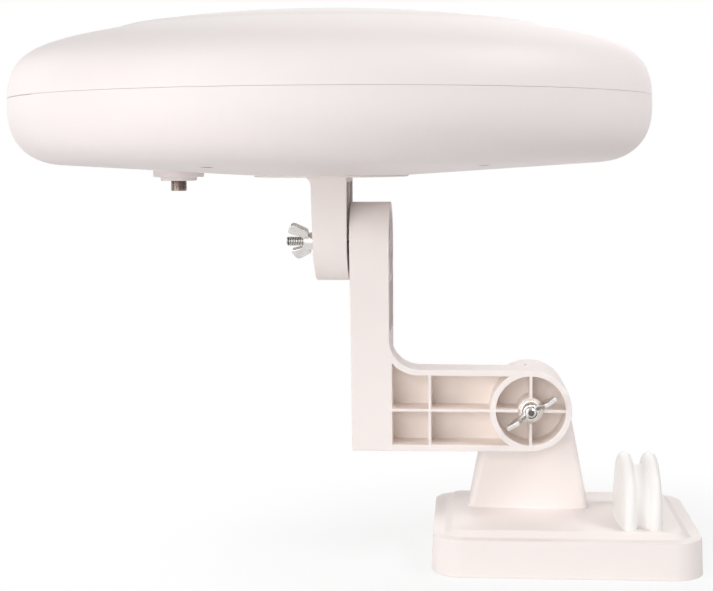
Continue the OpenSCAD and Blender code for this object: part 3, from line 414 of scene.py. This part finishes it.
def lowerCover(sizes):
    # only the edges that show from outside are rounded: socket boss, screw recesses and flange pocket
    run = domeShape["radius"] - sizes["edgeWidth"] - sizes["flangeR"]
    slope = (sizes["edgeHeight"] - sizes["proud"]) / run

    def shows(edge):
        spot = ((edge.verts[0].co + edge.verts[1].co) / 2 - domeAxis.foot) / mm
        reach = math.hypot(spot.x, spot.y)
        skin = sizes["proud"] + (reach - sizes["flangeR"]) * slope
        return spot.z < skin + sizes["shownDepth"] and reach < sizes["shownReach"]

    def inRecess(verts, room):
        reach = (sizes["recess"] + room) * mm
        return any(all(math.hypot(v.co.x - x, v.co.y - y) < reach for v in verts) for x, y in caseSpots)

    def ofRecess(edge):
        return inRecess(edge.verts, sizes["edgeRoom"])
    bm = cadCopy("lower_cover")
    softenEdges(bm, sizes["soften"], where=lambda e: shows(e) and not ofRecess(e))
    softenEdges(bm, sizes["recessRound"], 2, where=lambda e: shows(e) and ofRecess(e))
    for face in bm.faces:  # painted shade: the faces inside the screws' deep recesses get a dark colour, since little light gets into them
        face.material_index = 1 if inRecess(face.verts, sizes["faceRoom"]) else 0
    return bm


weightNormals(putPiece("lower_cover_shell", lowerCover(underSide), whitePlastic, "dome", ["lower_cover"],
                       domeShape["crease"], second=recessShadePaint))

guideWheel = {
    "radius": 34.4, "width": 26.6, "bulge": 1.0, "cheek": 18.9, "cheekStep": 5.0, "rimGap": 14.2,
    "rimRound": 3.6, "rimArc": (-88, 72), "groove": 7.4, "grooveArc": (180, 92), "steps": 160,
}


def cableGuide(sizes):
    # a grooved wheel, turned whole and cut off where it meets the base
    mid, low, high = midOf("cable_guide")
    axle = Spindle((mid.x, mid.y, high.z - sizes["radius"] * mm), (1, 0, 0), (0, 0, 1))
    half, bulge, cheekR, ease = sizes["width"] / 2, sizes["bulge"], sizes["cheek"], sizes["rimRound"]
    deep = sizes["radius"] - sizes["groove"]
    grooveR = sizes["rimGap"] / 2 - ease
    rim = arcPoints((sizes["radius"] - ease, sizes["rimGap"] / 2), ease, *sizes["rimArc"], 18)
    groove = arcPoints((deep + grooveR, 0), grooveR, *sizes["grooveArc"], 10)
    cheek = [(cheekR + sizes["cheekStep"], half - bulge * 1.8), (cheekR, half - bulge),
             (cheekR / 2, half - bulge / 4), (0, half)]
    side = groove[1:] + rim + cheek
    bm = bmesh.new()
    axle.turn(bm, [(r, -x) for r, x in side[::-1]] + groove[:1] + side, sizes["steps"])
    closeTurned(bm)
    everything = bm.verts[:] + bm.edges[:] + bm.faces[:]
    cut = bmesh.ops.bisect_plane(bm, geom=everything, plane_co=low, plane_no=(0, 0, 1), clear_inner=True)
    rims = [e for e in cut["geom_cut"] if isinstance(e, bmesh.types.BMEdge)]
    bmesh.ops.holes_fill(bm, edges=rims, sides=0)
    bmesh.ops.recalc_face_normals(bm, faces=bm.faces)
    return bm


putPiece("cable_guide_wheel", cableGuide(guideWheel), guideWhiteWithPaintedLight, "base", ["cable_guide"])

wingNuts = {"soften": 0.55, "bodies": {"lower_wing_nut": "lower_nut", "upper_wing_nut": "upper_nut"}}
for node, body in wingNuts["bodies"].items():
    bm = cadCopy(node)
    softenEdges(bm, wingNuts["soften"])
    weightNormals(putPiece(node + "_casting", bm, zincPlate, body, [node]))

clampBolt = {
    "shank": 3.0, "core": 2.45, "pitch": 1.0, "threaded": 26.0, "runout": 0.5, "lead": 0.3, "tip": 0.7,
    "across": 10.0, "head": 4.0, "chamfer": 0.35, "sunk": 0.1, "steps": 40,
}


def boltPiece(node, body, along, outward, sizes):
    mid, low, high = midOf(node)
    along = Vector(along)
    reach = (high - low).dot(Vector([abs(v) for v in along])) / mm
    axle = Spindle(mid - along * reach / 2 * mm, along, outward)
    shank, core, tip = sizes["shank"], sizes["core"], sizes["tip"]
    neck = sizes["head"] - sizes["sunk"]
    start = reach - sizes["threaded"]
    root, end = start + sizes["runout"], reach - tip
    bm = bmesh.new()
    axle.turn(bm, [(0, neck), (shank, neck), (shank, start), (core, root), (core, end),
                   (core - tip, reach), (0, reach)], sizes["steps"])
    for face in bm.faces:  # painted shade: the thread's root between the ridges is coloured dark for the shade there; the bolt's flat end is coloured dark too
        spot = (face.calc_center_median() - axle.foot).dot(along) / mm
        face.material_index = 1 if root < spot < end or spot > reach - 0.01 else 0
    axle.thread(bm, core, shank, start - sizes["lead"], end, sizes["pitch"])
    axle.hexagon(bm, sizes["across"], 0, sizes["head"], sizes["chamfer"])
    closeTurned(bm)
    putPiece(node + "_threaded", bm, zincPlate, body, [node], second=rootShadeAndDarkEnd)


boltPiece("lower_bolt", "base", (0, -1, 0), (1, 0, 0), clampBolt)
boltPiece("upper_bolt", "arm", (-1, 0, 0), (0, 0, 1), clampBolt)

clampWasher = {"radius": 6.0, "bore": 3.1, "thick": 1.6, "round": 0.25, "steps": 72, "crease": 50}


def washerPiece(node, body, along, outward, sizes):
    axle = Spindle(midOf(node)[0], along, outward)
    soft = sizes["round"]
    inner, outer, flat = sizes["bore"] + soft, sizes["radius"] - soft, sizes["thick"] / 2 - soft
    corners = arcPoints((outer, flat), soft, 90, 0, 4) + arcPoints((outer, -flat), soft, 0, -90, 4)
    corners += arcPoints((inner, -flat), soft, -90, -180, 4) + arcPoints((inner, flat), soft, 180, 90, 4)
    bm = bmesh.new()
    axle.turn(bm, corners, sizes["steps"], True)
    closeTurned(bm)
    putPiece(node + "_ring", bm, zincPlate, body, [node], sizes["crease"])


washerPiece("lower_washer", "lower_washer", (0, -1, 0), (1, 0, 0), clampWasher)
washerPiece("upper_washer", "upper_washer", (-1, 0, 0), (0, 0, 1), clampWasher)

aerialSocket = {
    "bore": 3.4, "core": 4.54, "crest": 4.76, "neck": 4.5, "mouth": 0.3, "rim": 0.25,
    "threaded": 5.7, "pitch": 0.794, "lead": 0.1, "threadSteps": 48,
    "across": 12.0, "body": 6.5, "bodyBore": 3.95, "sunk": 0.2,
}


def socketPiece(sizes):
    # a threaded barrel under a hexagon body
    mid, low, high = midOf("f_connector")
    axle = Spindle((mid.x, mid.y, low.z), (0, 0, 1), (0, 1, 0))
    top = (high.z - low.z) / mm
    seat = top - sizes["body"]
    bore, core, neck, lead = sizes["bore"], sizes["core"], sizes["neck"], sizes["lead"]
    mouth, rim, end, into = sizes["mouth"], sizes["rim"], sizes["threaded"], seat + sizes["sunk"]
    bm = bmesh.new()
    axle.turn(bm, [(bore, mouth), (bore + mouth, 0), (core - rim, 0), (core, rim), (core, end),
                   (neck, end + lead), (neck, into), (bore, into)], closed=True)
    axle.thread(bm, core, sizes["crest"], lead, end - lead, sizes["pitch"], sizes["threadSteps"])
    point, inner = cornerRadius(sizes["across"]), sizes["bodyBore"]
    axle.turn(bm, [(inner, seat), (point, seat), (point, top), (inner, top)], 6, True)
    closeTurned(bm)
    return bm


putPiece("f_connector_barrel", socketPiece(aerialSocket), nickelPlate, "dome", ["f_connector"])

caseScrews = {"head": 2.98, "headHeight": 2.4, "shank": 1.75, "length": 30.0, "countersunk": False}
footScrews = {"ring": 34.0, "start": 45.0, "count": 4, "head": 3.8, "headHeight": 1.8, "shank": 1.9,
              "length": 12.2, "countersunk": True}
guideScrews = {"gap": 26.0, "head": 2.98, "headHeight": 2.2, "shank": 1.75, "length": 12.0,
               "countersunk": False}
screwForm = {"flare": 1.06, "sunk": 0.05, "point": 1.5, "headSteps": 32, "shankSteps": 24}
# shares of the head's radius, and of its height for the depth
crossSlot = {"inset": 0.3, "reach": 0.72, "half": 0.13, "deep": 0.55}


def crossRecess(bm, top, centre, head, height):
    # inset the head's end, cut it in nine and press the cross in
    reach = crossSlot["reach"] * head * mm

    def onEnd(face):
        return all((v.co - centre).length < reach for v in face.verts)

    def inCross(face):
        middle = face.calc_center_median() - centre
        return onEnd(face) and min(abs(middle.x), abs(middle.y)) < 0.02 * mm
    bmesh.ops.inset_individual(bm, faces=[top], thickness=crossSlot["inset"] * head * mm)
    for way in (Vector((1, 0, 0)), Vector((0, 1, 0))):
        for side in (-1, 1):
            pad = {f for f in bm.faces if abs(f.normal.z) > 0.9 and onEnd(f)}
            edges, verts = {e for f in pad for e in f.edges}, {v for f in pad for v in f.verts}
            geom = list(pad) + list(edges) + list(verts)
            offset = way * side * crossSlot["half"] * head * mm
            bmesh.ops.bisect_plane(bm, geom=geom, plane_co=centre + offset, plane_no=way)
    cross = [f for f in bm.faces if inCross(f)]
    pressed = bmesh.ops.extrude_face_region(bm, geom=cross)
    moved = [v for v in pressed["geom"] if isinstance(v, bmesh.types.BMVert)]
    bmesh.ops.delete(bm, geom=cross, context="FACES")
    bmesh.ops.translate(bm, verts=moved, vec=(0, 0, crossSlot["deep"] * height * mm))


def screwRow(node, body, spots, sizes):
    # the heads point down and the shanks up; a countersunk head narrows into its shank
    low = Vector(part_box(node)[0])
    head, height, shank = sizes["head"], sizes["headHeight"], sizes["shank"]
    wide = shank if sizes["countersunk"] else screwForm["flare"] * head
    neck, end = height - screwForm["sunk"], height + sizes["length"]
    bm = bmesh.new()
    for x, y in spots:
        axle = Spindle((x, y, low.z), (0, 0, 1), (1, 0, 0))
        made = bmesh.ops.create_cone(bm, cap_ends=True, segments=screwForm["headSteps"],
                                     radius1=head * mm, radius2=wide * mm, depth=height * mm,
                                     matrix=Matrix.Translation(axle.spot(0, height / 2)))
        faces = {f for v in made["verts"] for f in v.link_faces}
        top = min(faces, key=lambda f: f.calc_center_median().z)
        crossRecess(bm, top, axle.foot, head, height)
        axle.turn(bm, [(0, neck), (shank, neck), (shank, end - screwForm["point"]), (0, end)],
                  screwForm["shankSteps"])
    closeTurned(bm)
    putPiece(node.replace("screws", "screw_set"), bm, zincPlate, body, [node])


footSpots = ringSpots(domeAxis.foot, footScrews["ring"], footScrews["start"], footScrews["count"])
guideMid = midOf("cable_guide")[0]
guideSpots = [(guideMid.x, guideMid.y + side * guideScrews["gap"] / 2 * mm) for side in (-1, 1)]
screwRow("case_screws", "dome", caseSpots, caseScrews)
screwRow("foot_screws", "dome", footSpots, footScrews)
screwRow("guide_screws", "base", guideSpots, guideScrews)

# pieces inside the dome keep their modelled solids
inside = {
    "cover_seal": sealRubber, "connector_seal": sealRubber, "connector_insulator": insulatorPlastic,
    "connector_contact": contactBrass, "amplifier_board": boardLaminate, "amplifier_shield": tinPlate,
    "balun_core": ferriteBody, "board_screws": zincPlate, "coax_lead": leadJacket,
    "blade_carrier": insulatorPlastic, "carrier_screw": zincPlate, "blade_screws": zincPlate,
    "low_band_loop": aluminiumSheet, "dipole_blade_1": aluminiumSheet, "dipole_blade_2": aluminiumSheet,
    "dipole_blade_3": aluminiumSheet, "dipole_blade_4": aluminiumSheet,
}
for node, finish in inside.items():
    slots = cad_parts[node].data.materials
    slots.clear()
    slots.append(finish)
print("inside the dome: %d nodes" % len(inside))

# place in mm, turns in radians, lens in mm, near clip in metres
cameraSet = {"place": (-54.81, -855.22, 235.57), "yaw": 0.0775, "pitch": -0.0973, "roll": -0.0057,
             "lens": 73.73, "near": 0.02}


def placeCamera(sizes):
    yaw, pitch, roll = sizes["yaw"], sizes["pitch"], sizes["roll"]
    right = Vector((math.cos(yaw), math.sin(yaw), 0))
    ahead = Vector((-math.sin(yaw) * math.cos(pitch), math.cos(yaw) * math.cos(pitch), math.sin(pitch)))
    up = right.cross(ahead)
    across = math.cos(roll) * right + math.sin(roll) * up
    upward = math.cos(roll) * up - math.sin(roll) * right
    lens = bpy.data.cameras.new("photo camera")
    lens.lens = sizes["lens"]
    lens.clip_start = sizes["near"]
    camera = bpy.data.objects.new("photo camera", lens)
    turn = Matrix((across, upward, -ahead)).transposed().to_4x4()
    camera.matrix_world = Matrix.Translation(Vector(sizes["place"]) * mm) @ turn
    scene.collection.objects.link(camera)
    scene.camera = camera


placeCamera(cameraSet)

partMiddle = (-0.06, 0.0, 0.15)
baseRight = (0.05, -0.05, 0.03)
softboxes = {
    # place and target in metres, width in metres, power in watts
    "front softbox": ((-0.5, -1.95, 0.4), partMiddle, 1.2, 14.8),
    "left front softbox": ((-1.3, -1.05, 0.35), partMiddle, 0.8, 7.2),
    "high left lamp": ((-0.8, -0.78, 0.85), partMiddle, 0.4, 2.45),
    "left rim softbox": ((-1.3, 0.6, 0.6), partMiddle, 0.8, 2.4),
    "right top lamp": ((0.5, -0.25, 0.7), baseRight, 0.4, 3.4),
    "back softbox": ((0.0, 1.6, 0.9), partMiddle, 1.4, 5.0),
    "back top softbox": ((0.0, 1.0, 1.7), partMiddle, 1.4, 4.4),
}
for name, (place, target, width, power) in softboxes.items():
    lamp = bpy.data.lights.new(name, "AREA")
    lamp.size = width
    lamp.energy = power
    softbox = bpy.data.objects.new(name, lamp)
    aim = (Vector(target) - Vector(place)).to_track_quat("-Z", "Y").to_matrix().to_4x4()
    softbox.matrix_world = Matrix.Translation(Vector(place)) @ aim
    scene.collection.objects.link(softbox)

studioWhite = (1, 1, 1, 1)
ambient = 0.04


def whiteWorld(strength):
    # white where it is seen or mirrored, a faint fill elsewhere
    scene.world = bpy.data.worlds.new("white studio")
    tree = Finish(scene.world)
    path = tree.add("LightPath")
    mirrored = path.sum("MAXIMUM", path.pick("Is Glossy Ray"), path.pick("Is Transmission Ray"))
    seen = path.sum("MAXIMUM", path.pick("Is Camera Ray"), mirrored)
    soft = tree.add("Background", None, {"Color": studioWhite, "Strength": strength})
    white = tree.add("Background", None, {"Color": studioWhite, "Strength": 1.0})
    both = tree.add("MixShader", None, {0: seen, 1: soft, 2: white})
    tree.add("OutputWorld", None, {"Surface": both})


# in metres; the shade is the share of the paper's own tone that shows near the base
floorSet = {"half": 6.0, "drop": 0.00005, "paper": (0.9, 0.9, 0.9, 1), "shade": 0.2, "shadeFrom": 0.08,
            "shadeTo": 0.26}


def paperSweep(sizes):
    sweep = newFinish("white sweep")
    path = sweep.add("LightPath")
    seen = path.sum("MAXIMUM", path.pick("Is Camera Ray"), path.pick("Is Glossy Ray"))
    away = sweep.add("VectorMath", {"operation": "LENGTH"}, {0: sweep.objectPlace()}).pick("Value")
    near = sweep.add("MapRange", {"interpolation_type": "SMOOTHSTEP"},
                     {"Value": away, "From Min": sizes["shadeFrom"], "From Max": sizes["shadeTo"],
                      "To Min": sizes["shade"], "To Max": 0.0})
    paper = sweep.add("BsdfDiffuse", None, {"Color": sizes["paper"]})
    glow = sweep.add("Emission", None, {"Color": studioWhite, "Strength": 1.0})
    both = sweep.add("MixShader", None, {0: (1 - near) * seen, 1: paper, 2: glow})
    sweep.add("OutputMaterial", None, {"Surface": both})
    return sweep.owner


def layFloor(sizes):
    bm = bmesh.new()
    bmesh.ops.create_grid(bm, x_segments=1, y_segments=1, size=sizes["half"])
    bmesh.ops.translate(bm, verts=bm.verts, vec=(0, 0, -sizes["drop"]))
    mesh = bpy.data.meshes.new("floor")
    bm.to_mesh(mesh)
    bm.free()
    mesh.materials.append(paperSweep(sizes))
    floor = bpy.data.objects.new("floor", mesh)
    scene.collection.objects.link(floor)


whiteWorld(ambient)
layFloor(floorSet)
scene.view_settings.view_transform = "Standard"
print("studio: camera, %d softboxes and a floor" % len(softboxes))
